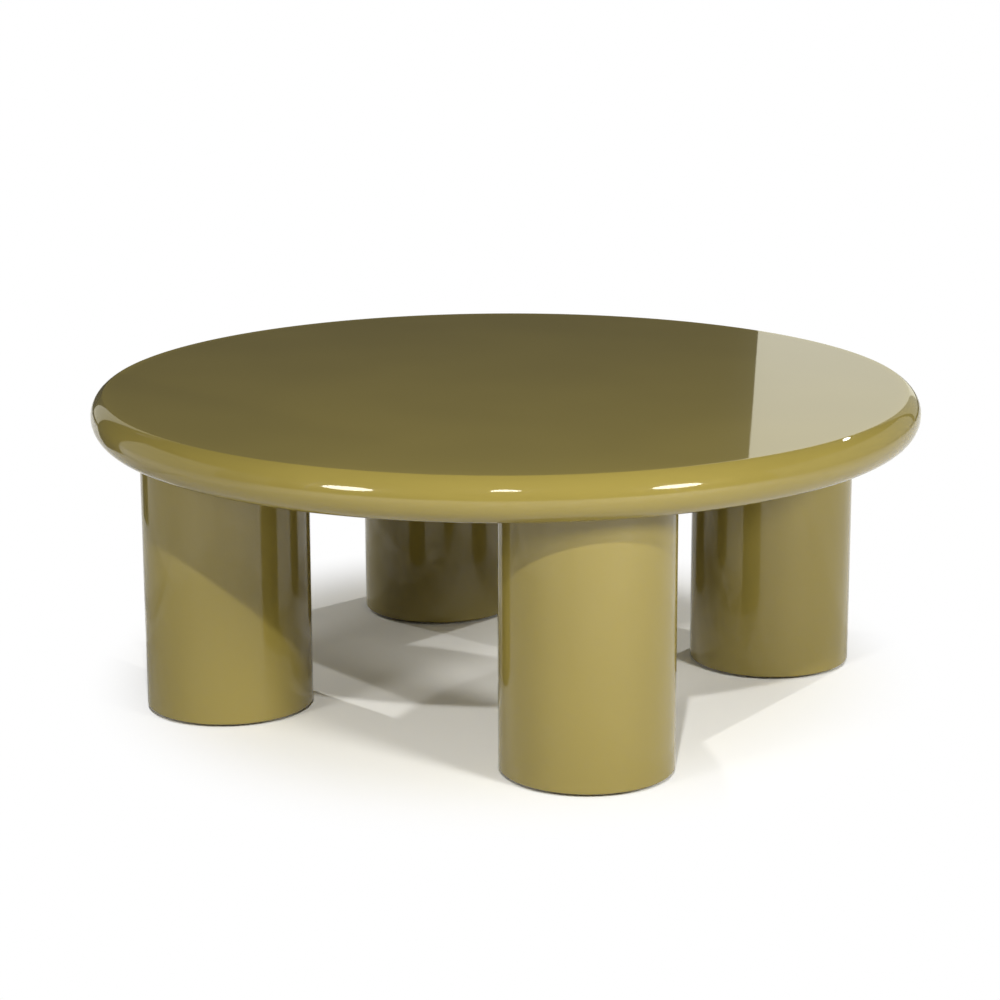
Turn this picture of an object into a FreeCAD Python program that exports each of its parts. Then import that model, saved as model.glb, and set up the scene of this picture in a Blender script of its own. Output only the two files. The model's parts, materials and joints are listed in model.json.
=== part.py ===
"""Round cocktail table: a thick, bullnosed, lacquered top on four stout lacquered columns.

The top is a glued sandwich: an upper and a lower panel over a ring of rim segments, with lapped
battens and a screw block above each column inside it. Each column is a tube closed by two plugs.
A coach bolt held in the upper plug screws into a threaded insert in the top, and the lower plug
carries a levelling foot: a spindle that screws through a flanged nut and turns in a moulded pad.

Frame: +Z up, origin on the floor under the middle of the top, columns on the diagonals, millimetres.
"""

import FreeCAD, Part
import math
import os

import Sketcher
from FreeCAD import Placement, Rotation, Vector

# Driving sizes, in millimetres. Everything else is worked out from these.
SIZES = {
    # the top and its sandwich
    "top_diameter": 1000,
    "top_thickness": 54,
    "panel_thickness": 18,
    "crown_cut": 3.5,
    "arris_round": 3,
    "rim_width": 75,
    "batten_width": 20,
    # the columns, on the corners of a square, each set in from the top's edge
    "leg_inset": 53.5,
    "leg_diameter": 200,
    "leg_length": 318,
    "leg_wall": 12,
    "leg_edge_round": 2,
    "upper_plug_thickness": 24,
    "lower_plug_thickness": 18,
    # the bolt and the insert that join a column to the top
    "bolt_diameter": 10,
    "bolt_reach": 28,
    "bolt_head_diameter": 24,
    "bolt_head_height": 5,
    "bolt_neck_width": 10.6,
    "bolt_neck_height": 6,
    "insert_diameter": 16,
    "insert_length": 30,
    "insert_flange_diameter": 24,
    "insert_flange_height": 2,
    # the levelling foot
    "floor_gap": 3,
    "pad_diameter": 60,
    "pad_rim_height": 5,
    "pad_boss_diameter": 26,
    "pad_height": 12,
    "pad_web": 3,
    "pad_edge_round": 1.5,
    "collar_diameter": 16,
    "collar_height": 3,
    "neck_diameter": 8,
    "neck_gap": 1,
    "hex_width": 17,
    "hex_height": 5,
    "spindle_diameter": 10,
    "spindle_thread_length": 32,
    "nut_diameter": 14,
    "nut_flange_diameter": 30,
    "nut_flange_height": 1.5,
    "nut_length": 15,
    # fits: glued and screwed pieces, and pieces that run in each other
    "glue_gap": 0.1,
    "running_gap": 0.1,
}

# Heights above the floor and radii that several pieces share, as expressions over the sizes.
SHARED = {
    "core_height": "sizes.top_thickness - 2 * sizes.panel_thickness",
    "core_inner_radius": "sizes.top_diameter / 2 - sizes.rim_width",
    "leg_head": "sizes.floor_gap + sizes.leg_length",
    "core_bottom": "shared.leg_head + sizes.panel_thickness",
    "core_middle": "shared.core_bottom + shared.core_height / 2",
    "core_top": "shared.core_bottom + shared.core_height",
    "top_face": "shared.leg_head + sizes.top_thickness",
    # the bullnose is a half round whose crown is cut off by the flat, which leaves an eased arris
    "nose_radius": "(sizes.top_thickness + sizes.crown_cut) / 2",
    "nose_centre_radius": "sizes.top_diameter / 2 - shared.nose_radius",
    "nose_middle": "shared.leg_head + shared.nose_radius",
    "lower_edge_radius": "shared.nose_centre_radius"
                         " + sqrt(shared.nose_radius ^ 2 - (shared.nose_middle - shared.core_bottom) ^ 2)",
    "upper_edge_radius": "shared.nose_centre_radius"
                         " + sqrt(shared.nose_radius ^ 2 - (shared.core_top - shared.nose_middle) ^ 2)",
    "arris_rise": "shared.top_face - sizes.arris_round - shared.nose_middle",
    "arris_reach": "sqrt((shared.nose_radius - sizes.arris_round) ^ 2 - shared.arris_rise ^ 2)",
    "arris_share": "shared.nose_radius / (shared.nose_radius - sizes.arris_round)",
    "arris_foot_radius": "shared.nose_centre_radius + shared.arris_reach * shared.arris_share",
    "arris_foot": "shared.nose_middle + shared.arris_rise * shared.arris_share",
    "flat_radius": "shared.nose_centre_radius + shared.arris_reach",
    "leg_circle_radius": "sizes.top_diameter / 2 - sizes.leg_inset - sizes.leg_diameter / 2",
    "leg_offset": "shared.leg_circle_radius / sqrt(2)",
    "leg_bore_radius": "sizes.leg_diameter / 2 - sizes.leg_wall",
    "plug_radius": "shared.leg_bore_radius - sizes.glue_gap",
    "upper_plug_bottom": "shared.leg_head - sizes.upper_plug_thickness",
    "bolt_hole_radius": "sizes.bolt_diameter / 2 + sizes.glue_gap",
    "insert_hole_radius": "sizes.insert_diameter / 2 + sizes.glue_gap",
    "insert_recess_radius": "sizes.insert_flange_diameter / 2 + sizes.glue_gap",
    "block_radius": "shared.core_inner_radius - shared.leg_circle_radius - sizes.glue_gap",
    "batten_offset": "shared.leg_offset - shared.block_radius - sizes.glue_gap - sizes.batten_width / 2",
    "lap_half_width": "sizes.batten_width / 2 + sizes.glue_gap",
    "batten_half_length": "sqrt(shared.core_inner_radius ^ 2"
                          " - (shared.batten_offset + sizes.batten_width / 2) ^ 2) - sizes.glue_gap",
    "collar_top": "sizes.pad_web + sizes.collar_height",
    "socket_radius": "sizes.collar_diameter / 2 + sizes.running_gap",
    "socket_top": "shared.collar_top + sizes.running_gap",
    "socket_mouth_radius": "sizes.neck_diameter / 2 + sizes.running_gap",
    "hex_bottom": "sizes.pad_height + sizes.neck_gap",
    "hex_top": "shared.hex_bottom + sizes.hex_height",
    "nut_bottom": "shared.hex_top + sizes.running_gap",
    "lower_plug_bottom": "shared.nut_bottom + sizes.nut_flange_height",
    "lower_plug_top": "shared.lower_plug_bottom + sizes.lower_plug_thickness",
    "nut_hole_radius": "sizes.nut_diameter / 2 + sizes.glue_gap",
    "spindle_hole_radius": "sizes.spindle_diameter / 2 + sizes.running_gap",
}

LEGS = {
    "front_left": (-1, -1),
    "front_right": (1, -1),
    "back_right": (1, 1),
    "back_left": (-1, 1),
}
RIM_SEGMENTS = 8
FULL_TURN = 360
HALF_TURN = 180
QUARTER_TURN = 90
HEX_CORNERS = 6

# How a sketch numbers the points of its geometry, and its own axes.
FIRST, LAST, CENTRE = range(1, 4)
LEVEL_AXIS, UPRIGHT_AXIS = range(-1, -3, -1)

doc = FreeCAD.newDocument("cocktail_table")
nodes = []


def fill_sheet():
    """Writes the driving sizes into the sheet, one row each, and the shared values beside it."""
    sheet = doc.addObject("Spreadsheet::Sheet", "sizes")
    for row, (alias, number) in enumerate(SIZES.items(), start=1):
        sheet.set(f"A{row}", alias)
        sheet.set(f"B{row}", str(number))
        sheet.setAlias(f"B{row}", alias)
    doc.recompute()
    shared = doc.addObject("App::VarSet", "shared")
    for name, expression in SHARED.items():
        shared.addProperty("App::PropertyFloat", name)
        shared.setExpression(name, expression)
        doc.recompute()
    return shared


shared = fill_sheet()


# Sketching and turning


def origin_plane(body, role):
    return next(f for f in body.Origin.OriginFeatures if f.Role == role)


def new_body(label):
    """An empty body that becomes the node of that name."""
    body = doc.addObject("PartDesign::Body", label)
    body.Label = label
    nodes.append(body)
    return body


def new_sketch(body, name, plane):
    sketch = body.newObject("Sketcher::SketchObject", name)
    sketch.AttachmentSupport = [(origin_plane(body, plane), "")]
    sketch.MapMode = "FlatFace"
    return sketch


def hold(sketch, kind, geometry, point, expression, name):
    """Ties one coordinate of a sketch point to an expression, or puts the point on the axis at zero."""
    if expression == "0":
        axis = UPRIGHT_AXIS if kind == "DistanceX" else LEVEL_AXIS
        sketch.addConstraint(Sketcher.Constraint("PointOnObject", geometry, point, axis))
        return
    number = shared.evalExpression(expression)
    limit = Sketcher.Constraint(kind, LEVEL_AXIS, FIRST, geometry, point, number)
    sketch.renameConstraint(sketch.addConstraint(limit), name)
    sketch.setExpression(f"Constraints.{name}", expression)


def hold_radius(sketch, geometry, expression, name):
    limit = Sketcher.Constraint("Radius", geometry, shared.evalExpression(expression))
    sketch.renameConstraint(sketch.addConstraint(limit), name)
    sketch.setExpression(f"Constraints.{name}", expression)


def arc_between(start, end, radius):
    """The short arc from start to end that bulges out of a counter-clockwise outline."""
    chord = end - start
    reach = math.sqrt(max(radius ** 2 - (chord.Length / 2) ** 2, 0))
    left = Vector(-chord.y, chord.x, 0).normalize()
    centre = (start + end) / 2 + left * reach
    angles = [math.atan2(p.y - centre.y, p.x - centre.x) for p in (start, end)]
    return Part.ArcOfCircle(Part.Circle(centre, Vector(0, 0, 1), radius), *angles)


def outline(body, name, corners, plane="XZ_Plane"):
    """A closed sketch through corners, counter-clockwise. A corner is (across, up) or
    (across, up, radius), where the edge that leaves it is then an arc of that radius which bulges
    out. All are expressions, so the sketch follows the sizes."""
    sketch = new_sketch(body, name, plane)
    points = [Vector(*(shared.evalExpression(e) for e in corner[:2]), 0) for corner in corners]
    for index, (across, up, *arc) in enumerate(corners):
        start, end = points[index], points[(index + 1) % len(points)]
        if arc:
            sketch.addGeometry(arc_between(start, end, shared.evalExpression(arc[0])))
        else:
            sketch.addGeometry(Part.LineSegment(start, end))
    for index, (across, up, *arc) in enumerate(corners):
        after = (index + 1) % len(corners)
        sketch.addConstraint(Sketcher.Constraint("Coincident", index, LAST, after, FIRST))
        hold(sketch, "DistanceX", index, FIRST, across, f"across_{index}")
        hold(sketch, "DistanceY", index, FIRST, up, f"up_{index}")
        if arc:
            hold_radius(sketch, index, arc[0], f"radius_{index}")
    return sketch


def turn(body, corners, angle=FULL_TURN):
    """Revolves an outline of radius and height about the body's own upright axis."""
    sketch = outline(body, body.Label + "_profile", corners)
    feature = body.newObject("PartDesign::Revolution", body.Label + "_turned")
    feature.Profile = sketch
    feature.ReferenceAxis = (sketch, ["V_Axis"])
    feature.Angle = angle
    feature.Midplane = angle != FULL_TURN
    return feature


def raise_pad(body, name, corners, bottom, height, plane="XY_Plane"):
    """Pads an outline drawn flat on the floor plane, from one height by another."""
    sketch = outline(body, name + "_outline", corners, plane)
    sketch.setExpression("AttachmentOffset.Base.z", bottom)
    feature = body.newObject("PartDesign::Pad", name)
    feature.Profile = sketch
    feature.setExpression("Length", height)
    return feature


def cut_hole(body, name, centre, radius, bottom, height):
    """Cuts a round upright hole upwards from one height, and returns the pocket."""
    sketch = new_sketch(body, name + "_outline", "XY_Plane")
    sketch.setExpression("AttachmentOffset.Base.z", bottom)
    middle = Vector(*(shared.evalExpression(e) for e in centre), 0)
    circle = sketch.addGeometry(Part.Circle(middle, Vector(0, 0, 1), shared.evalExpression(radius)))
    hold(sketch, "DistanceX", circle, CENTRE, centre[0], "centre_across")
    hold(sketch, "DistanceY", circle, CENTRE, centre[1], "centre_up")
    hold_radius(sketch, circle, radius, "radius")
    pocket = body.newObject("PartDesign::Pocket", name)
    pocket.Profile = sketch
    pocket.Reversed = True
    pocket.setExpression("Length", height)
    return pocket


def square(width):
    """The corners of a square of that width about the axis."""
    half = f"({width}) / 2"
    return [(f"-{half}", f"-{half}"), (half, f"-{half}"), (half, half), (f"-{half}", half)]


def hexagon(width):
    """The corners of a hexagon of that width across its flats, about the axis."""
    corner = f"({width}) / sqrt(3)"
    return [
        (f"{corner} * cos({turned} deg)", f"{corner} * sin({turned} deg)" if turned % HALF_TURN else "0")
        for turned in range(0, FULL_TURN, FULL_TURN // HEX_CORNERS)
    ]


def stand_on_leg(body, leg):
    """Moves a body drawn about the axis to a column's axis."""
    for axis, side in zip("xy", LEGS[leg]):
        body.setExpression(f"Placement.Base.{axis}", f"{side} * shared.leg_offset")


# The top


def top_panel():
    """The upper panel: the flat table surface, its eased arris and the upper part of the bullnose."""
    turn(new_body("top_panel"), [
        ("0", "shared.core_top"),
        ("shared.upper_edge_radius", "shared.core_top", "shared.nose_radius"),
        ("shared.arris_foot_radius", "shared.arris_foot", "sizes.arris_round"),
        ("shared.flat_radius", "shared.top_face"),
        ("0", "shared.top_face"),
    ])


def bottom_panel():
    """The lower panel, with the lower part of the bullnose and a stepped hole for each insert."""
    body = new_body("bottom_panel")
    turn(body, [
        ("0", "shared.leg_head"),
        ("shared.nose_centre_radius", "shared.leg_head", "shared.nose_radius"),
        ("shared.lower_edge_radius", "shared.core_bottom"),
        ("0", "shared.core_bottom"),
    ])
    centre = ("shared.leg_offset", "shared.leg_offset")
    hole = cut_hole(body, "insert_hole", centre, "shared.insert_hole_radius",
                    "shared.leg_head", "sizes.panel_thickness")
    recess = cut_hole(body, "insert_recess", centre, "shared.insert_recess_radius",
                      "shared.leg_head", "sizes.insert_flange_height")
    doc.recompute()
    pattern = body.newObject("PartDesign::PolarPattern", "insert_holes")
    pattern.Originals = [hole, recess]
    pattern.Axis = (origin_plane(body, "Z_Axis"), [""])
    pattern.Angle = FULL_TURN
    pattern.Occurrences = len(LEGS)
    body.Tip = pattern


def rim_segments():
    """The ring between the panels, butted from equal segments, whose outside is the bullnose's middle."""
    angle = FULL_TURN / RIM_SEGMENTS
    for index in range(RIM_SEGMENTS):
        body = new_body(f"rim_segment_{index + 1}")
        turn(body, [
            ("shared.core_inner_radius", "shared.core_bottom"),
            ("shared.lower_edge_radius", "shared.core_bottom", "shared.nose_radius"),
            ("shared.upper_edge_radius", "shared.core_top"),
            ("shared.core_inner_radius", "shared.core_top"),
        ], angle)
        body.Placement = Placement(Vector(), Rotation(Vector(0, 0, 1), angle * index))


def batten_outline(lapped_edge, plain_edge):
    """A batten seen from its side, with a lap cut halfway through it at each crossing.
    The lapped edge and the plain one are its top and bottom, or the other way about."""
    end = "shared.batten_half_length"
    outer = "shared.batten_offset + shared.lap_half_width"
    inner = "shared.batten_offset - shared.lap_half_width"
    lap = "shared.core_middle"
    return [
        (f"-{end}", plain_edge),
        (end, plain_edge),
        (end, lapped_edge),
        (outer, lapped_edge),
        (outer, lap),
        (inner, lap),
        (inner, lapped_edge),
        (f"-({inner})", lapped_edge),
        (f"-({inner})", lap),
        (f"-({outer})", lap),
        (f"-({outer})", lapped_edge),
        (f"-{end}", lapped_edge),
    ]


def battens():
    """Four battens that keep the panels apart, beside the blocks and halved where they cross."""
    crossing = {
        "long_batten": (0, "shared.core_top", "shared.core_bottom"),
        "cross_batten": (QUARTER_TURN, "shared.core_bottom", "shared.core_top"),
    }
    for name, (turned, lapped_edge, plain_edge) in crossing.items():
        for number, side in enumerate((-1, 1), start=1):
            body = new_body(f"{name}_{number}")
            pad = body.newObject("PartDesign::Pad", body.Label + "_pad")
            pad.Profile = outline(body, body.Label + "_side", batten_outline(lapped_edge, plain_edge))
            pad.SideType = "Symmetric"
            pad.setExpression("Length", "sizes.batten_width")
            body.Placement.Rotation = Rotation(Vector(0, 0, 1), turned)
            axis = "x" if turned else "y"
            body.setExpression(f"Placement.Base.{axis}", f"{side} * shared.batten_offset")


def leg_block(leg):
    """The block inside the top that an insert is screwed into."""
    body = new_body(f"{leg}_block")
    turn(body, [
        ("shared.insert_hole_radius", "shared.core_bottom"),
        ("shared.block_radius", "shared.core_bottom"),
        ("shared.block_radius", "shared.core_top"),
        ("shared.insert_hole_radius", "shared.core_top"),
    ])
    return body


def insert(leg):
    """The flanged threaded insert, flush with the underside of the top."""
    body = new_body(f"{leg}_insert")
    flange_top = "shared.leg_head + sizes.insert_flange_height"
    end = "shared.leg_head + sizes.insert_length"
    turn(body, [
        ("shared.bolt_hole_radius", "shared.leg_head"),
        ("sizes.insert_flange_diameter / 2", "shared.leg_head"),
        ("sizes.insert_flange_diameter / 2", flange_top),
        ("sizes.insert_diameter / 2", flange_top),
        ("sizes.insert_diameter / 2", end),
        ("shared.bolt_hole_radius", end),
    ])
    return body


# The columns


def leg_tube(leg):
    """The lacquered tube, its lower outside edge eased."""
    body = new_body(f"{leg}_leg_tube")
    outside = "sizes.leg_diameter / 2"
    turn(body, [
        ("shared.leg_bore_radius", "sizes.floor_gap"),
        (f"{outside} - sizes.leg_edge_round", "sizes.floor_gap", "sizes.leg_edge_round"),
        (outside, "sizes.floor_gap + sizes.leg_edge_round"),
        (outside, "shared.leg_head"),
        ("shared.leg_bore_radius", "shared.leg_head"),
    ])
    return body


def upper_plug(leg):
    """The disc glued into the head of the tube, with a square seat for the bolt's neck."""
    body = new_body(f"{leg}_upper_plug")
    turn(body, [
        ("shared.bolt_hole_radius", "shared.upper_plug_bottom"),
        ("shared.plug_radius", "shared.upper_plug_bottom"),
        ("shared.plug_radius", "shared.leg_head"),
        ("shared.bolt_hole_radius", "shared.leg_head"),
    ])
    sketch = outline(body, body.Label + "_seat_outline",
                     square("sizes.bolt_neck_width + 2 * sizes.glue_gap"), "XY_Plane")
    sketch.setExpression("AttachmentOffset.Base.z", "shared.upper_plug_bottom")
    seat = body.newObject("PartDesign::Pocket", body.Label + "_seat")
    seat.Profile = sketch
    seat.Reversed = True
    seat.setExpression("Length", "sizes.bolt_neck_height + sizes.glue_gap")
    return body


def leg_bolt(leg):
    """The coach bolt: a domed head inside the column, a square neck and a shank up into the insert."""
    body = new_body(f"{leg}_leg_bolt")
    head = "sizes.bolt_head_diameter / 2"
    height = "sizes.bolt_head_height"
    dome = f"(({head}) ^ 2 + {height} ^ 2) / (2 * {height})"
    turn(body, [
        ("0", f"shared.upper_plug_bottom - {height}", dome),
        (head, "shared.upper_plug_bottom"),
        ("sizes.bolt_diameter / 2", "shared.upper_plug_bottom"),
        ("sizes.bolt_diameter / 2", "shared.leg_head + sizes.bolt_reach"),
        ("0", "shared.leg_head + sizes.bolt_reach"),
    ])
    raise_pad(body, body.Label + "_neck", square("sizes.bolt_neck_width"),
              "shared.upper_plug_bottom", "sizes.bolt_neck_height")
    return body


def lower_plug(leg):
    """The disc glued inside the foot of the tube, high enough to house the levelling foot."""
    body = new_body(f"{leg}_lower_plug")
    turn(body, [
        ("shared.nut_hole_radius", "shared.lower_plug_bottom"),
        ("shared.plug_radius", "shared.lower_plug_bottom"),
        ("shared.plug_radius", "shared.lower_plug_top"),
        ("shared.nut_hole_radius", "shared.lower_plug_top"),
    ])
    return body


# The levelling feet


def foot_nut(leg):
    """The flanged nut in the lower plug, its flange below so that the table's weight seats it."""
    body = new_body(f"{leg}_foot_nut")
    end = "shared.lower_plug_bottom + sizes.nut_length"
    turn(body, [
        ("shared.spindle_hole_radius", "shared.nut_bottom"),
        ("sizes.nut_flange_diameter / 2", "shared.nut_bottom"),
        ("sizes.nut_flange_diameter / 2", "shared.lower_plug_bottom"),
        ("sizes.nut_diameter / 2", "shared.lower_plug_bottom"),
        ("sizes.nut_diameter / 2", end),
        ("shared.spindle_hole_radius", end),
    ])
    return body


def foot_spindle(leg):
    """The spindle: a collar in the pad, a neck, a hexagon for a spanner and the screwed shank."""
    body = new_body(f"{leg}_foot_spindle")
    collar = "sizes.collar_diameter / 2"
    neck = "sizes.neck_diameter / 2"
    shank = "sizes.spindle_diameter / 2"
    turn(body, [
        ("0", "sizes.pad_web"),
        (collar, "sizes.pad_web"),
        (collar, "shared.collar_top"),
        (neck, "shared.collar_top"),
        (neck, "shared.hex_bottom"),
        (shank, "shared.hex_bottom"),
        (shank, "shared.hex_top + sizes.spindle_thread_length"),
        ("0", "shared.hex_top + sizes.spindle_thread_length"),
    ])
    raise_pad(body, body.Label + "_hexagon", hexagon("sizes.hex_width"),
              "shared.hex_bottom", "sizes.hex_height")
    return body


def foot_pad(leg):
    """The moulded pad: a disc on the floor that rises to a boss, snapped over the spindle's collar."""
    body = new_body(f"{leg}_foot_pad")
    outside = "sizes.pad_diameter / 2"
    boss = "sizes.pad_boss_diameter / 2"
    turn(body, [
        ("0", "0"),
        (f"{outside} - sizes.pad_edge_round", "0", "sizes.pad_edge_round"),
        (outside, "sizes.pad_edge_round"),
        (outside, "sizes.pad_rim_height"),
        (boss, "sizes.pad_height"),
        ("shared.socket_mouth_radius", "sizes.pad_height"),
        ("shared.socket_mouth_radius", "shared.socket_top"),
        ("shared.socket_radius", "shared.socket_top"),
        ("shared.socket_radius", "sizes.pad_web"),
        ("0", "sizes.pad_web"),
    ])
    return body


# The assembly


def build():
    top_panel()
    bottom_panel()
    rim_segments()
    battens()
    for leg in LEGS:
        for piece in (leg_block, insert, leg_tube, upper_plug, leg_bolt,
                      lower_plug, foot_nut, foot_spindle, foot_pad):
            stand_on_leg(piece(leg), leg)
    doc.recompute()


def check():
    """Stops before anything is written if a feature failed or a piece isn't one sound solid."""
    for item in doc.Objects:
        if "Invalid" in item.State or "Error" in item.State:
            raise RuntimeError(f"{item.Label} failed: {item.State}")
    for node in nodes:
        shape = node.Shape
        if shape.isNull() or not shape.isValid() or len(shape.Solids) != 1:
            raise RuntimeError(f"{node.Label} is not one valid solid")


def export():
    os.makedirs("parts", exist_ok=True)
    for node in nodes:
        node.Shape.exportStep(f"parts/{node.Label}.step")
    print(f"{len(nodes)} pieces, top face at {shared.top_face} mm")


build()
check()
export()
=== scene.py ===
# %% [markdown]
# # A round cocktail table in high-gloss lacquer
#
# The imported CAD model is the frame: it says where every piece is and how the levelling feet move. This
# script adds what a camera sees. The lacquer is sprayed over the finished top and over each leg, so on
# the real table no joint between the boards shows. That is why the top and the legs get one fine skin
# each, while the hardware and the raw boards keep their CAD shapes and only get a finish.

# %% Load the frame
import json
import math

import bmesh
import bpy
from mathutils import Matrix, Vector


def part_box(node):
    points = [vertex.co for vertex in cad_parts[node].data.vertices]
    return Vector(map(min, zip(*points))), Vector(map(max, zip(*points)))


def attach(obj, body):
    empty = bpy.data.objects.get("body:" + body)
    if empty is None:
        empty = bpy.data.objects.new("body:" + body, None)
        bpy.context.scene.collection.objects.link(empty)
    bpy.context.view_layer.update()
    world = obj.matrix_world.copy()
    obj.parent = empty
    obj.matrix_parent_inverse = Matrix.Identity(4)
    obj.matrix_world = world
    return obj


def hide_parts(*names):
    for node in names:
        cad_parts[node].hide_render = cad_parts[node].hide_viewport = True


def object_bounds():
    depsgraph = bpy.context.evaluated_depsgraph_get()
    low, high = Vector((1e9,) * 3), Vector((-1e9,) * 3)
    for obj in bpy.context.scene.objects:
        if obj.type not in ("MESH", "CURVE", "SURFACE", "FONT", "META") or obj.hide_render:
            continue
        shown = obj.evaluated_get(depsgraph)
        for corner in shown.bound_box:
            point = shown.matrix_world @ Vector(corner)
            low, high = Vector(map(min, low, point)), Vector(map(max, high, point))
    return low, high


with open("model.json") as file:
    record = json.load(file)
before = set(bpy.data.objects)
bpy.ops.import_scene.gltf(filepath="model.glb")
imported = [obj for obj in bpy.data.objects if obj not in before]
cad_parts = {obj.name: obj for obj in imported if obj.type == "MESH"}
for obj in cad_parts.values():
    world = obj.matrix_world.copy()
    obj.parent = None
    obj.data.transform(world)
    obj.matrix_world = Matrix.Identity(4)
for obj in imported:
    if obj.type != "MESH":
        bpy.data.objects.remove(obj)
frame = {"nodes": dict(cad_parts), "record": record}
cad_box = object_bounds()
scene = bpy.context.scene
scene.view_settings.view_transform = "Standard"

LEGS = ("front_left", "front_right", "back_right", "back_left")
top_low, top_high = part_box("bottom_panel")[0].z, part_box("top_panel")[1].z
print(f"{len(frame['nodes'])} nodes, top from {top_low:.3f} to {top_high:.3f} m")

# %% [markdown]
# ## The camera
#
# The photograph was taken a little above the table with a long lens, so the top reads as a flat ellipse
# and the legs hardly converge. The place, the tilt and the lens were solved from the outline of the top
# and the feet of the legs. Everything in the studio is then placed as seen from the camera: across the
# picture, away from the camera, and up.

# %% Camera
CAMERA_AZIMUTH = math.radians(29.88)
CAMERA_DISTANCE = 3.3209
CAMERA_HEIGHT = 1.0496
CAMERA_PITCH = 0.24227
CAMERA_YAW = 0.00216
CAMERA_ROLL = -0.00322
LENS_MM = 100.41

camera_turn = Matrix.Rotation(CAMERA_AZIMUTH, 3, "Z")


def studio(across, away, up):
    """A point given as the camera sees it, in the frame of the table."""
    return camera_turn @ Vector((across, away, up))


camera = bpy.data.objects.new("camera", bpy.data.cameras.new("camera"))
camera.data.lens = LENS_MM
camera.location = studio(0, -CAMERA_DISTANCE, CAMERA_HEIGHT)
camera.rotation_euler = (
    Matrix.Rotation(CAMERA_AZIMUTH + CAMERA_YAW, 3, "Z")
    @ Matrix.Rotation(math.pi / 2 - CAMERA_PITCH, 3, "X")
    @ Matrix.Rotation(CAMERA_ROLL, 3, "Z")
).to_euler()
scene.collection.objects.link(camera)
scene.camera = camera
print("camera at", [round(v, 3) for v in camera.location])

# %% [markdown]
# ## Helpers for turned pieces
#
# Every shape on this table is turned. The quickest true way to make one is to draw half of its section
# as a chain of edges and spin it round an upright axis. Merging the last copy with the first closes the
# seam, and the normals are recalculated once the doubles are gone. Corners steeper than the crease angle
# stay hard: a mirror finish shows at once where smooth shading bends a flat wall near its edge.

# %% Turning a section
FULL_TURN = 2 * math.pi
CREASE = math.radians(32)
MERGE_WITHIN = 1e-6


def arc(centre, radius, start_degrees, end_degrees, steps):
    """Points of radius and height along an arc in the section."""
    sweep = end_degrees - start_degrees
    turns = [math.radians(start_degrees + sweep * i / steps) for i in range(steps + 1)]
    return [(centre[0] + radius * math.cos(t), centre[1] + radius * math.sin(t)) for t in turns]


def turned_mesh(name, section, axis, steps, closed):
    """A mesh spun from a section of (radius, height) points round an upright axis through axis."""
    bm = bmesh.new()
    verts = [bm.verts.new((axis[0] + radius, axis[1], height)) for radius, height in section]
    pairs = list(zip(verts, verts[1:]))
    if closed:
        pairs.append((verts[-1], verts[0]))
    edges = [bm.edges.new(pair) for pair in pairs]
    bmesh.ops.spin(bm, geom=verts + edges, cent=(axis[0], axis[1], 0), axis=(0, 0, 1),
                   angle=FULL_TURN, steps=steps, use_merge=True)
    bmesh.ops.remove_doubles(bm, verts=bm.verts, dist=MERGE_WITHIN)
    bmesh.ops.recalc_face_normals(bm, faces=bm.faces)
    for face in bm.faces:
        face.smooth = True
    mesh = bpy.data.meshes.new(name)
    bm.to_mesh(mesh)
    bm.free()
    mesh.set_sharp_from_angle(angle=CREASE)
    return mesh


def add_piece(name, mesh, body, slot, *nodes):
    """Puts a mesh in the scene in place of CAD nodes, riding on their body."""
    piece = bpy.data.objects.new(name, mesh)
    scene.collection.objects.link(piece)
    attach(piece, body)
    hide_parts(*nodes)
    print(name, len(mesh.polygons), "faces")
    return piece


# %% [markdown]
# ## The lacquer
#
# Olive lacquer, sprayed thick, flatted and polished to a mirror. The colour and the gloss are one layer, so
# one shader with a low roughness does it, and the mirror comes from its index of refraction. Polishing by
# hand never gets quite flat: a straight edge wavers a little in it (a long, low wave), and close to, the
# surface has the faint dimple of orange peel. Both are heights, so they go in as bump. The fine scratches
# of the polish blur a small share of the light, which is a thin, rough coat over the mirror. The colour
# drifts by a hair from pass to pass of the gun, and the mirror is a touch softer in some places than in
# others.

# %% Lacquer finish
LACQUER_COLOUR = (0.258, 0.203, 0.046)
COLOUR_DRIFT = (0.97, 1.03)
DRIFT_AT = (0.35, 0.65)
MIRROR_ROUGHNESS = (0.02, 0.05)
HAZE_SHARE = 0.12
HAZE_ROUGHNESS = 0.29
WAVE_SCALE = 5.0
WAVE_DETAIL = 1.0
PEEL_SCALE = 260.0
PEEL_DETAIL = 0.0
PEEL_SHARE = 0.002
WAVE_HEIGHT = 0.0003
WAVE_STRENGTH = 0.5


def new_material(name):
    """A new material with a Principled shader, its nodes and its links."""
    material = bpy.data.materials.new(name)
    material.use_nodes = True
    return material, material.node_tree.nodes, material.node_tree.links


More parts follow.
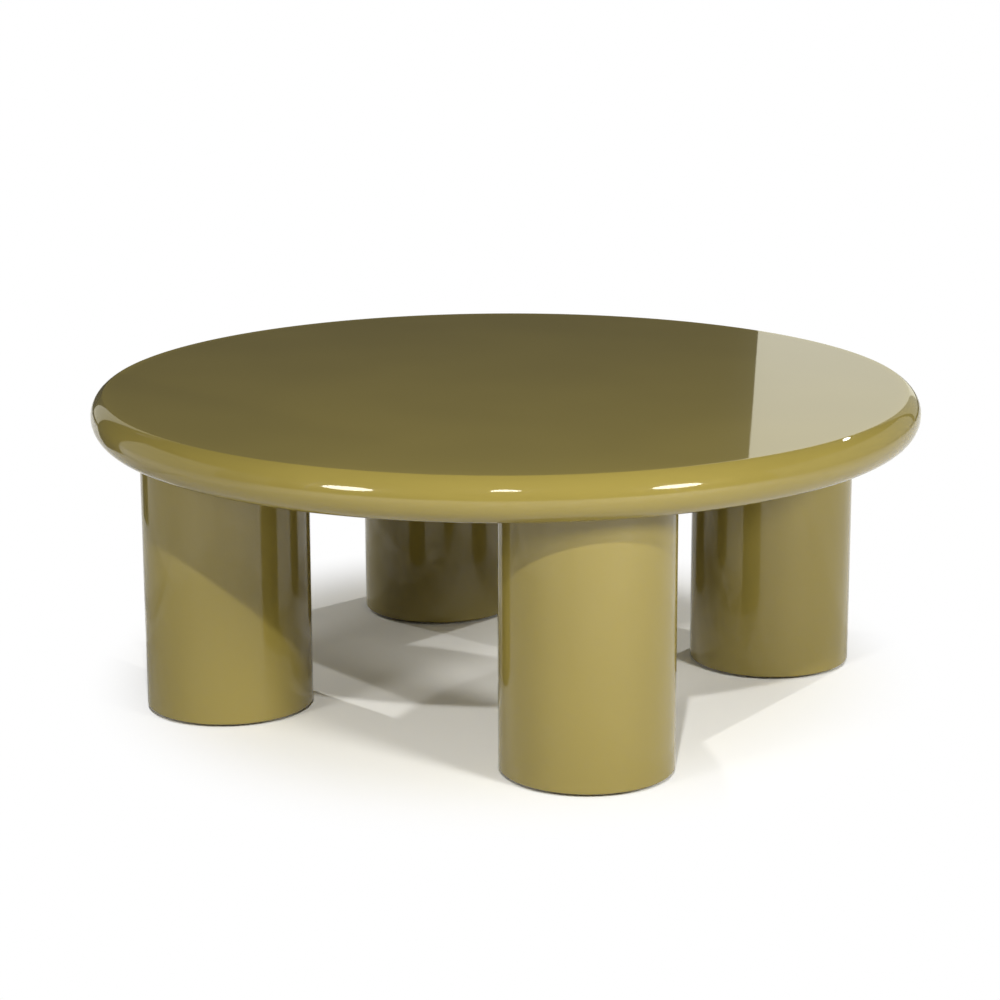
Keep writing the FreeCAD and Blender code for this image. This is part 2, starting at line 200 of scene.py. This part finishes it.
def surface_group():
    """A node group of the unevenness that sprayed and polished lacquer has: its height and its tone."""
    group = bpy.data.node_groups.new("sprayed_surface", "ShaderNodeTree")
    for name in ("Wave Scale", "Peel Scale", "Peel Share"):
        group.interface.new_socket(name, in_out="INPUT", socket_type="NodeSocketFloat")
    for name in ("Height", "Tone"):
        group.interface.new_socket(name, in_out="OUTPUT", socket_type="NodeSocketFloat")
    nodes, links = group.nodes, group.links
    entry, leave = nodes.new("NodeGroupInput"), nodes.new("NodeGroupOutput")
    place = nodes.new("ShaderNodeTexCoord")
    wave, peel = nodes.new("ShaderNodeTexNoise"), nodes.new("ShaderNodeTexNoise")
    wave.inputs["Detail"].default_value = WAVE_DETAIL
    peel.inputs["Detail"].default_value = PEEL_DETAIL
    share, total = nodes.new("ShaderNodeMath"), nodes.new("ShaderNodeMath")
    share.operation = "MULTIPLY"
    for texture, scale in ((wave, "Wave Scale"), (peel, "Peel Scale")):
        links.new(place.outputs["Object"], texture.inputs["Vector"])
        links.new(entry.outputs[scale], texture.inputs["Scale"])
    links.new(peel.outputs["Fac"], share.inputs[0])
    links.new(entry.outputs["Peel Share"], share.inputs[1])
    links.new(wave.outputs["Fac"], total.inputs[0])
    links.new(share.outputs[0], total.inputs[1])
    links.new(total.outputs[0], leave.inputs["Height"])
    links.new(wave.outputs["Fac"], leave.inputs["Tone"])
    return group


sprayed_surface = surface_group()


def lacquer_finish():
    """Olive lacquer: a drifting colour, polished to a mirror that is a touch softer here and there."""
    material, nodes, links = new_material("olive_lacquer")
    shader = nodes["Principled BSDF"]
    shader.inputs["Coat Weight"].default_value = HAZE_SHARE
    shader.inputs["Coat Roughness"].default_value = HAZE_ROUGHNESS
    uneven = nodes.new("ShaderNodeGroup")
    uneven.node_tree = sprayed_surface
    uneven.inputs["Wave Scale"].default_value = WAVE_SCALE
    uneven.inputs["Peel Scale"].default_value = PEEL_SCALE
    uneven.inputs["Peel Share"].default_value = PEEL_SHARE
    tone = nodes.new("ShaderNodeValToRGB")
    for element, share, position in zip(tone.color_ramp.elements, COLOUR_DRIFT, DRIFT_AT):
        element.color = (*(share * c for c in LACQUER_COLOUR), 1)
        element.position = position
    polish = nodes.new("ShaderNodeMapRange")
    polish.inputs["To Min"].default_value = MIRROR_ROUGHNESS[0]
    polish.inputs["To Max"].default_value = MIRROR_ROUGHNESS[1]
    bump = nodes.new("ShaderNodeBump")
    bump.inputs["Strength"].default_value = WAVE_STRENGTH
    bump.inputs["Distance"].default_value = WAVE_HEIGHT
    links.new(uneven.outputs["Tone"], tone.inputs["Fac"])
    links.new(tone.outputs["Color"], shader.inputs["Base Color"])
    links.new(uneven.outputs["Tone"], polish.inputs["Value"])
    links.new(polish.outputs["Result"], shader.inputs["Roughness"])
    links.new(uneven.outputs["Height"], bump.inputs["Height"])
    links.new(bump.outputs["Normal"], shader.inputs["Normal"])
    return material


lacquer = lacquer_finish()
print("finish", lacquer.name)

# %% [markdown]
# ## The raw boards and the hardware
#
# Under the legs and inside the top there is no lacquer: the plugs and blocks are birch plywood, the
# battens are plain fibreboard, the screws are zinc plated and the pads are moulded in black nylon. These
# pieces keep their CAD shape, so each only needs a finish with the grain of its own material.

# %% Board, steel and nylon finishes
GRAIN_DETAIL = 6.0
GRAIN_STRENGTH = 0.4
GRAIN_TONES_AT = (0.3, 0.7)


def grained(name, dark, pale, stretch, scale, roughness, relief):
    """A finish whose colour runs between two tones in a stretched noise, with the same noise as relief."""
    material, nodes, links = new_material(name)
    shader = nodes["Principled BSDF"]
    shader.inputs["Roughness"].default_value = roughness
    place, mapping = nodes.new("ShaderNodeTexCoord"), nodes.new("ShaderNodeMapping")
    mapping.inputs["Scale"].default_value = stretch
    noise, tone, bump = (nodes.new("ShaderNodeTexNoise"), nodes.new("ShaderNodeValToRGB"),
                         nodes.new("ShaderNodeBump"))
    noise.inputs["Scale"].default_value = scale
    noise.inputs["Detail"].default_value = GRAIN_DETAIL
    for element, colour, position in zip(tone.color_ramp.elements, (dark, pale), GRAIN_TONES_AT):
        element.color = (*colour, 1)
        element.position = position
    bump.inputs["Distance"].default_value = relief
    bump.inputs["Strength"].default_value = GRAIN_STRENGTH
    links.new(place.outputs["Object"], mapping.inputs["Vector"])
    links.new(mapping.outputs["Vector"], noise.inputs["Vector"])
    links.new(noise.outputs["Fac"], tone.inputs["Fac"])
    links.new(tone.outputs["Color"], shader.inputs["Base Color"])
    links.new(noise.outputs["Fac"], bump.inputs["Height"])
    links.new(bump.outputs["Normal"], shader.inputs["Normal"])
    return material


EVEN = (1, 1, 1)
ALONG_GRAIN = (4, 60, 4)
fibreboard = grained("raw_fibreboard", (0.34, 0.22, 0.12), (0.48, 0.33, 0.19), EVEN,
                     scale=700, roughness=0.85, relief=0.0003)
plywood = grained("birch_plywood", (0.50, 0.34, 0.18), (0.68, 0.50, 0.30), ALONG_GRAIN,
                  scale=4, roughness=0.7, relief=0.0002)
zinc = grained("zinc_plate", (0.52, 0.53, 0.54), (0.62, 0.62, 0.62), EVEN,
               scale=900, roughness=0.32, relief=0.00005)
zinc.node_tree.nodes["Principled BSDF"].inputs["Metallic"].default_value = 1.0
nylon = grained("black_nylon", (0.012, 0.012, 0.013), (0.022, 0.022, 0.023), EVEN,
                scale=1500, roughness=0.55, relief=0.0001)

FINISHES = {
    "lacquer": lacquer,
    "core_board": fibreboard,
    "plywood": plywood,
    "zinc_steel": zinc,
    "nylon": nylon,
}
for subpart in frame["record"]["subparts"]:
    slots = frame["nodes"][subpart["node"]].data.materials
    slots.clear()
    slots.append(FINISHES[subpart["material_slot"]])
print("finishes", sorted(FINISHES))

# %% [markdown]
# ## The top
#
# A disc with a bullnose edge. The round of the edge runs from the underside almost to the crown, where the
# flat of the top cuts it off and leaves a fine eased arris. That arris draws the thin light line between
# the flat and the edge. One ring just inside each flat keeps it truly flat when the shading is smoothed, so
# that the mirror in it stays straight right up to the line.

# %% Lacquered top
TOP_STEPS = 320
NOSE_STEPS = 26
ARRIS_STEPS = 5
FLAT_BORDER = 0.0015
CROWN_CUT = 0.0035
ARRIS_ROUND = 0.003

top_radius = (cad_box[1].x - cad_box[0].x) / 2
nose_radius = (top_high - top_low + CROWN_CUT) / 2
nose_centre = (top_radius - nose_radius, top_low + nose_radius)
arris_height = top_high - ARRIS_ROUND
arris_angle = math.degrees(math.asin((arris_height - nose_centre[1]) / (nose_radius - ARRIS_ROUND)))
flat_radius = nose_centre[0] + (nose_radius - ARRIS_ROUND) * math.cos(math.radians(arris_angle))
top_section = (
    [(0, top_low), (nose_centre[0] - FLAT_BORDER, top_low)]
    + arc(nose_centre, nose_radius, -90, arris_angle, NOSE_STEPS)
    + arc((flat_radius, arris_height), ARRIS_ROUND, arris_angle, 90, ARRIS_STEPS)[1:]
    + [(flat_radius - FLAT_BORDER, top_high), (0, top_high)]
)
top = add_piece(
    "lacquered_top", turned_mesh("lacquered_top", top_section, (0, 0), TOP_STEPS, closed=False),
    "table", "lacquer", "top_panel", "bottom_panel", *(f"rim_segment_{i}" for i in range(1, 9)),
)
top.data.materials.append(lacquer)
print(f"flat {2 * flat_radius:.3f} m across, arris at {arris_angle:.1f} degrees")

# %% [markdown]
# ## The legs
#
# Each leg is a wide tube. The lacquer covers its outside, its eased lower edge and the ring that it would
# stand on. The bore was never sprayed, so it stays raw fibreboard. One section gives the whole tube, and
# the faces that look at the axis get the second finish.

# %% Lacquered legs
LEG_STEPS = 160
EASE_STEPS = 6
LEG_EASE = 0.002
LEG_WALL = 0.012
BORE_FACING = -0.5

for leg in LEGS:
    low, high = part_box(f"{leg}_leg_tube")
    axis = ((low.x + high.x) / 2, (low.y + high.y) / 2)
    outside = (high.x - low.x) / 2
    bore = outside - LEG_WALL
    section = (
        [(bore, low.z), (outside - 2 * LEG_EASE, low.z)]
        + arc((outside - LEG_EASE, low.z + LEG_EASE), LEG_EASE, -90, 0, EASE_STEPS)
        + [(outside, low.z + 2 * LEG_EASE), (outside, high.z), (bore, high.z)]
    )
    piece = add_piece(
        f"{leg}_lacquered_leg", turned_mesh(f"{leg}_lacquered_leg", section, axis, LEG_STEPS, closed=True),
        "table", "lacquer", f"{leg}_leg_tube",
    )
    piece.data.materials.append(lacquer)
    piece.data.materials.append(fibreboard)
    for face in piece.data.polygons:
        outward = Vector((face.center.x - axis[0], face.center.y - axis[1], 0)).normalized()
        if face.normal.dot(outward) < BORE_FACING:
            face.material_index = 1

# %% [markdown]
# ## The floor
#
# White studio paper. Close to the table it is a real surface, which takes the shadows and throws light back
# up under the top. Further out the photograph burns out to plain white, so there the paper blends into a
# white that only the camera and the mirrors in the lacquer see. It adds no light to the table. The paper
# under each leg is left out of the blend, so that the thin gap there stays dark: the legs stand on the
# diagonals, so one distance from a corner, taken without the signs, finds all four.

# %% Floor
FLOOR_HALF = 12.0
FLOOR_DROP = 0.0004
FLOOR_COLOUR = (0.97, 0.96, 0.915)
# Light that bounces off the paper meets this greyer colour, a painted shade: less light comes back up, so
# the underside and the shaded sides of the table stay darker.
DARKENED_BOUNCE_COLOUR = (0.65, 0.63, 0.58)
PAPER_ROUGHNESS = 0.7
PAPER_GLOSS = 0.1
FADE_CENTRE = (0.0, 0.05, 0.0)
FADE_REACH = (0.46, 0.54, 1.0)
FADE_START = 0.70
FADE_END = 1.15
FOOT_SOFT = 0.001

foot_low, foot_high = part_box("back_right_leg_tube")
foot_place = ((foot_low.x + foot_high.x) / 2, (foot_low.y + foot_high.y) / 2, 0)
foot_radius = (foot_high.x - foot_low.x) / 2


def add_card(name, corners, material):
    """A flat card in the studio, given by its corners as the camera sees them."""
    bm = bmesh.new()
    bm.faces.new([bm.verts.new(studio(*corner)) for corner in corners])
    mesh = bpy.data.meshes.new(name)
    bm.to_mesh(mesh)
    bm.free()
    card = bpy.data.objects.new(name, mesh)
    card.data.materials.append(material)
    scene.collection.objects.link(card)
    return card


def seen_rays(nodes, links):
    """A value that is 1 for the rays of camera, mirrors and glass, and 0 for light that bounces."""
    path = nodes.new("ShaderNodeLightPath")
    first, both = nodes.new("ShaderNodeMath"), nodes.new("ShaderNodeMath")
    for node in (first, both):
        node.operation = "MAXIMUM"
    links.new(path.outputs["Is Camera Ray"], first.inputs[0])
    links.new(path.outputs["Is Glossy Ray"], first.inputs[1])
    links.new(first.outputs[0], both.inputs[0])
    links.new(path.outputs["Is Transmission Ray"], both.inputs[1])
    return both.outputs[0]


def floor_finish():
    """White paper that fades, for the eye only, to plain white round an oval under the table."""
    material, nodes, links = new_material("floor_paper")
    paper = nodes["Principled BSDF"]
    paper.inputs["Roughness"].default_value = PAPER_ROUGHNESS
    paper.inputs["Specular IOR Level"].default_value = PAPER_GLOSS
    white, blend, colour = (nodes.new("ShaderNodeEmission"), nodes.new("ShaderNodeMixShader"),
                            nodes.new("ShaderNodeMix"))
    colour.data_type = "RGBA"
    colour.inputs["A"].default_value = (*DARKENED_BOUNCE_COLOUR, 1)
    colour.inputs["B"].default_value = (*FLOOR_COLOUR, 1)
    place, oval = nodes.new("ShaderNodeTexCoord"), nodes.new("ShaderNodeMapping")
    length, fade, share = (nodes.new("ShaderNodeVectorMath"), nodes.new("ShaderNodeMapRange"),
                           nodes.new("ShaderNodeMath"))
    oval.vector_type = "TEXTURE"
    oval.inputs["Location"].default_value = studio(*FADE_CENTRE)
    oval.inputs["Rotation"].default_value = (0, 0, CAMERA_AZIMUTH)
    oval.inputs["Scale"].default_value = FADE_REACH
    length.operation = "LENGTH"
    fade.interpolation_type = "SMOOTHSTEP"
    fade.inputs["From Min"].default_value = FADE_START
    fade.inputs["From Max"].default_value = FADE_END
    corner, away = nodes.new("ShaderNodeVectorMath"), nodes.new("ShaderNodeVectorMath")
    clear, kept = nodes.new("ShaderNodeMapRange"), nodes.new("ShaderNodeMath")
    corner.operation = "ABSOLUTE"
    away.operation = "DISTANCE"
    away.inputs[1].default_value = foot_place
    clear.inputs["From Min"].default_value = foot_radius - FOOT_SOFT
    clear.inputs["From Max"].default_value = foot_radius
    for node in (share, kept):
        node.operation = "MULTIPLY"
    links.new(place.outputs["Object"], oval.inputs["Vector"])
    links.new(oval.outputs["Vector"], length.inputs[0])
    links.new(length.outputs["Value"], fade.inputs["Value"])
    links.new(place.outputs["Object"], corner.inputs[0])
    links.new(corner.outputs["Vector"], away.inputs[0])
    links.new(away.outputs["Value"], clear.inputs["Value"])
    links.new(fade.outputs["Result"], kept.inputs[0])
    links.new(clear.outputs["Result"], kept.inputs[1])
    links.new(kept.outputs[0], share.inputs[0])
    seen = seen_rays(nodes, links)
    links.new(seen, share.inputs[1])
    links.new(seen, colour.inputs["Factor"])
    links.new(colour.outputs["Result"], paper.inputs["Base Color"])
    links.new(share.outputs[0], blend.inputs["Fac"])
    links.new(paper.outputs[0], blend.inputs[1])
    links.new(white.outputs[0], blend.inputs[2])
    links.new(blend.outputs[0], nodes["Material Output"].inputs["Surface"])
    return material


def level_corners(half, height):
    """The corners of a level square about the middle of the studio."""
    return [(-half, -half, height), (half, -half, height), (half, half, height), (-half, half, height)]


add_card("floor", level_corners(FLOOR_HALF, -FLOOR_DROP), floor_finish())
print("floor", 2 * FLOOR_HALF, "m square")

# %% [markdown]
# ## The surroundings
#
# The camera and the mirrors see plain white round the studio, while the light that bounces gets only a low
# ambient share of it, so that the lamps model the shapes.

# %% White surroundings
AMBIENT = 0.09

world = bpy.data.worlds.new("studio")
world.use_nodes = True
scene.world = world
nodes, links = world.node_tree.nodes, world.node_tree.links
white, ambient = nodes.new("ShaderNodeBackground"), nodes["Background"]
blend = nodes.new("ShaderNodeMixShader")
white.inputs["Color"].default_value = (1, 1, 1, 1)
ambient.inputs["Color"].default_value = (1, 1, 1, 1)
ambient.inputs["Strength"].default_value = AMBIENT
links.new(seen_rays(nodes, links), blend.inputs["Fac"])
links.new(ambient.outputs[0], blend.inputs[1])
links.new(white.outputs[0], blend.inputs[2])
links.new(blend.outputs[0], nodes["World Output"].inputs["Surface"])
print("ambient", AMBIENT)

# %% [markdown]
# ## What the lacquer mirrors
#
# A polished top shows the room. Most of the flat mirrors a dark screen behind the table, and on the right
# a lit white wall beside the screen. The rounded edge bends the whole studio into a strip: walls left and
# right, a dark stand on the left, the dim room above them, and the sparks of the lamps. The walls share one
# paint, and each card glows as brightly as its stretch of wall is lit, so their lit and shaded tones are
# painted light. The sparks are painted highlights: glowing cards set where the lamps' reflections fall.
# A mirror that gives back a twentieth of the light never burns out, so it shows the paper of the floor as
# it is lit. Only mirror rays meet these cards: they cast no shadow, throw no light, and the camera looks
# through them.

# %% Mirror cards
AIM = Vector((0, 0, 0.3))
WALL_AWAY = 2.2
SCREEN_AWAY = 1.2
ROOM_LEFT, ROOM_RIGHT = -3.2, 2.4
ROOM_FRONT, ROOM_BACK = -2.7, 3.0
ROOM_HEIGHT = 4.0
PAPER_LIFT = 0.0002
SPARK_CARD_STEPS = 24


def glow(name, colour, strength):
    """A card that glows at a strength which stands for how brightly it is lit."""
    material, nodes, links = new_material(name)
    nodes.remove(nodes["Principled BSDF"])
    light = nodes.new("ShaderNodeEmission")
    light.inputs["Color"].default_value = (*colour, 1)
    light.inputs["Strength"].default_value = strength
    links.new(light.outputs[0], nodes["Material Output"].inputs["Surface"])
    return material


def lit_paper():
    """The paper of the floor as the lamps light it, without the fade."""
    material, nodes = new_material("lit_paper")[:2]
    nodes["Principled BSDF"].inputs["Base Color"].default_value = (*FLOOR_COLOUR, 1)
    nodes["Principled BSDF"].inputs["Roughness"].default_value = PAPER_ROUGHNESS
    return material


def standing(start, end, low, high, lean=0.0):
    """The corners of an upright card between two points on the floor; its end may lean as it rises."""
    return [(*start, low), (*end, low), (end[0] + lean, end[1], high), (*start, high)]


def bearing_vector(bearing, rise):
    """The direction from the table at a bearing from the camera's side and at an angle of height."""
    turn, level = math.radians(bearing), math.radians(rise)
    return Vector((math.cos(level) * math.sin(turn), -math.cos(level) * math.cos(turn), math.sin(level)))


def circle(radius, steps):
    """Points across and up along a circle."""
    turns = [FULL_TURN * i / steps for i in range(steps)]
    return [(radius * math.cos(t), radius * math.sin(t)) for t in turns]


def facing(bearing, rise, distance, width, height):
    """The corners of an oval glowing card that faces the table: a painted highlight for the mirrors."""
    outward = bearing_vector(bearing, rise)
    side = Vector((0, 0, 1)).cross(outward).normalized()
    upward = outward.cross(side)
    centre = AIM + distance * outward
    round_points = circle(0.5, SPARK_CARD_STEPS)
    return [centre + side * width * x + upward * height * y for x, y in round_points]


# All wall cards share this paint: their glow strengths are painted light levels, from lit to shaded.
WALL_PAINT = (1.0, 0.98, 0.83)
dark_cloth = glow("dark_cloth", (1.0, 1.0, 0.97), 0.060)
dim_room = glow("dim_room", (1.0, 0.97, 0.85), 0.05)
lit_wall = glow("lit_wall", WALL_PAINT, 1.13)
softly_lit_wall = glow("softly_lit_wall", WALL_PAINT, 0.70)
shaded_wall = glow("shaded_wall", WALL_PAINT, 0.30)
dimly_lit_wall = glow("dimly_lit_wall", WALL_PAINT, 0.48)
# The glow of the sparks: a painted highlight, not a lamp, and it lights nothing.
painted_spark = glow("painted_spark", (1.0, 0.98, 0.90), 20.0)

CARD_LOW = 0.2
SCREEN_START, SCREEN_END = -1.05, 0.434
SCREEN_LEAN = -0.162
SCREEN_SPAN = (CARD_LOW, 3.2)
LIT_START, LIT_END = -1.0, 1.28
WALL_CORNER = 1.895
WALL_SPAN = (CARD_LOW, 2.6)
LEFT_SHADE = -0.75
LEFT_SPAN = (0.0, 1.65)
RIGHT_SPAN = (CARD_LOW, 1.4)
ROOM_SPAN = (0.0, ROOM_HEIGHT)
ROOM_GAP = 0.1
STAND_LEFT = [(-1.16, 0.40, 0), (-0.97, 0.68, 0), (-1.04, 0.54, 0.85), (-1.27, 0.21, 0.85)]


def back_wall(start, end):
    """The corners of a stretch of the wall behind the screen."""
    return standing((start, WALL_AWAY), (end, WALL_AWAY), *WALL_SPAN)


def side_card(across, start, end, span):
    """The corners of an upright card that runs away from the camera."""
    return standing((across, start), (across, end), *span)


screen = standing((SCREEN_START, SCREEN_AWAY), (SCREEN_END, SCREEN_AWAY), *SCREEN_SPAN, lean=SCREEN_LEAN)
room_left = side_card(ROOM_LEFT - ROOM_GAP, ROOM_FRONT, ROOM_BACK, ROOM_SPAN)
room_right = side_card(ROOM_RIGHT + ROOM_GAP, ROOM_FRONT, ROOM_BACK, (CARD_LOW, ROOM_HEIGHT))
room_front = standing((ROOM_LEFT, ROOM_FRONT), (ROOM_RIGHT, ROOM_FRONT), *ROOM_SPAN)
room_back = standing((ROOM_LEFT, ROOM_BACK), (ROOM_RIGHT, ROOM_BACK), *ROOM_SPAN)
MIRROR_CARDS = {
    "paper_in_mirrors": (level_corners(FLOOR_HALF, PAPER_LIFT - FLOOR_DROP), lit_paper()),
    "screen_behind": (screen, dark_cloth),
    "wall_behind": (back_wall(LIT_START, LIT_END), lit_wall),
    "wall_behind_left": (back_wall(-2.1, LIT_START), softly_lit_wall),
    "wall_behind_right": (back_wall(LIT_END, WALL_CORNER), dimly_lit_wall),
    "wall_edge": (back_wall(WALL_CORNER, 2.04), dark_cloth),
    "stand_left": (STAND_LEFT, dark_cloth),
    "wall_left": (side_card(ROOM_LEFT, LEFT_SHADE, 2.0, LEFT_SPAN), softly_lit_wall),
    "wall_left_front": (side_card(ROOM_LEFT, -1.8, LEFT_SHADE, LEFT_SPAN), shaded_wall),
    "wall_right": (side_card(ROOM_RIGHT, -0.94, 2.8, RIGHT_SPAN), dimly_lit_wall),
    "room_left": (room_left, dim_room),
    "room_right": (room_right, dim_room),
    "room_front": (room_front, dim_room),
    "room_back": (room_back, dim_room),
    "ceiling": (level_corners(ROOM_HEIGHT, ROOM_HEIGHT), dim_room),
    # Painted highlights: glowing cards set where the lamps' sparks fall, a little apart from the lamps.
    "spark_card_left": (facing(-39.2, 16.2, 3.06, 0.70, 0.66), painted_spark),
    "spark_card_right": (facing(42.6, 16.2, 3.05, 0.68, 0.66), painted_spark),
    "spark_card_middle": (facing(0.0, 29.4, 3.05, 0.36, 0.60), painted_spark),
    "spark_card_back": (facing(131.0, 34.8, 3.71, 0.52, 0.11), painted_spark),
}
OUT_OF_SIGHT = ("visible_camera", "visible_diffuse", "visible_transmission", "visible_volume_scatter")
MIRRORS_ONLY = (*OUT_OF_SIGHT, "visible_shadow")
SHADOWS_ONLY = (*OUT_OF_SIGHT, "visible_glossy")


def hide_from(card, rays):
    """Takes a card out of some kinds of rays."""
    for kind in rays:
        setattr(card, kind, False)


for name, (corners, material) in MIRROR_CARDS.items():
    hide_from(add_card(name, corners, material), MIRRORS_ONLY)
print("mirror cards", sorted(MIRROR_CARDS))

# %% [markdown]
# ## The lamps
#
# Two broad soft lamps stand left and right of the camera, low enough to light the legs under the top. A
# small hard spot above the camera draws the crisp shadow of the top on the legs, and two more stand behind.
# A bare lamp is far too bright a point for a mirror finish, so the lamps themselves stay out of the
# mirrors.
# The sparks in the lacquer are painted highlights instead: glowing cards among the mirror cards, set where
# the sparks fall, a little apart from the lamps. A row gives the bearing, the rise, the distance, the size
# and the power.

# %% Lamps
SPOT_SIZE = 0.07
LAMPS = {
    "soft_left": (-42.0, 19.5, 3.0, 0.74, 23),
    "soft_right": (42.6, 23.3, 3.0, 0.63, 58),
    "spot_middle": (-1.6, 35.4, 3.0, SPOT_SIZE, 43),
    "spot_back_right": (140.0, 33.6, 3.9, SPOT_SIZE, 47),
    "spot_back_left": (-132.3, 31.7, 3.9, SPOT_SIZE, 62),
}

for name, (bearing, rise, distance, size, watts) in LAMPS.items():
    light = bpy.data.lights.new(name, "AREA")
    light.shape = "DISK"
    light.size = size
    light.energy = watts
    lamp = bpy.data.objects.new(name, light)
    outward = studio(*bearing_vector(bearing, rise))
    lamp.location = AIM + distance * outward
    lamp.rotation_euler = outward.to_track_quat("Z", "Y").to_euler()
    lamp.visible_glossy = False
    scene.collection.objects.link(lamp)
print("lamps", sorted(LAMPS))

# %% [markdown]
# ## The flags
#
# The two lamps behind draw crisp wedges of light on the floor under the table, and yet the flat of the top
# stays dark. In a studio, cards called flags hold the light off, or nets that let a share of it through.
# Each lamp has a round net that is the flat itself, drawn in toward the lamp, so its shadow covers the flat
# and nothing else. The left lamp also shines through a slit between a card and a net, which leaves a narrow
# strip of light beside the leg. Flags only cast shadows.

# %% Flags
FLAG_SHARE = 0.2
FLAG_STEPS = 64
SLIT_AWAY = 0.62
SLIT_CARD = [(-0.9, 0.0), (-0.25, 0.0), (-0.25, 0.8), (-0.9, 0.8)]
SLIT_NET = [(-0.049, 0.0), (0.62, 0.0), (0.62, 0.45), (-0.122, 0.45), (-0.098, 0.30)]


def net(name, share):
    """A card or net that lets a share of the light through."""
    material, nodes, links = new_material(name)
    nodes.remove(nodes["Principled BSDF"])
    threads = nodes.new("ShaderNodeBsdfTransparent")
    threads.inputs["Color"].default_value = (share, share, share, 1)
    links.new(threads.outputs[0], nodes["Material Output"].inputs["Surface"])
    return material


def flat_flag(lamp_name):
    """The corners of a round flag whose shadow from a lamp is the flat of the top."""
    bearing, rise, distance = LAMPS[lamp_name][:3]
    place = AIM + distance * bearing_vector(bearing, rise)
    edge = [Vector((x, y, top_high)) for x, y in circle(flat_radius, FLAG_STEPS)]
    return [point.lerp(place, FLAG_SHARE) for point in edge]


def slit_flag(outline):
    """The corners of an upright card across the left back lamp's beam, from places to the side and up."""
    outward = bearing_vector(LAMPS["spot_back_left"][0], 0)
    across = outward.cross(Vector((0, 0, 1)))
    return [SLIT_AWAY * outward + side * across + Vector((0, 0, up)) for side, up in outline]


flat_net = net("flat_net", 0.15)
strip_net = net("strip_net", 0.40)
black_card = net("black_card", 0.0)
FLAGS = {
    "flag_back_right": (flat_flag("spot_back_right"), flat_net),
    "flag_back_left": (flat_flag("spot_back_left"), flat_net),
    "slit_card": (slit_flag(SLIT_CARD), black_card),
    "slit_net": (slit_flag(SLIT_NET), strip_net),
}
for name, (corners, material) in FLAGS.items():
    hide_from(add_card(name, corners, material), SHADOWS_ONLY)
print("flags", sorted(FLAGS))
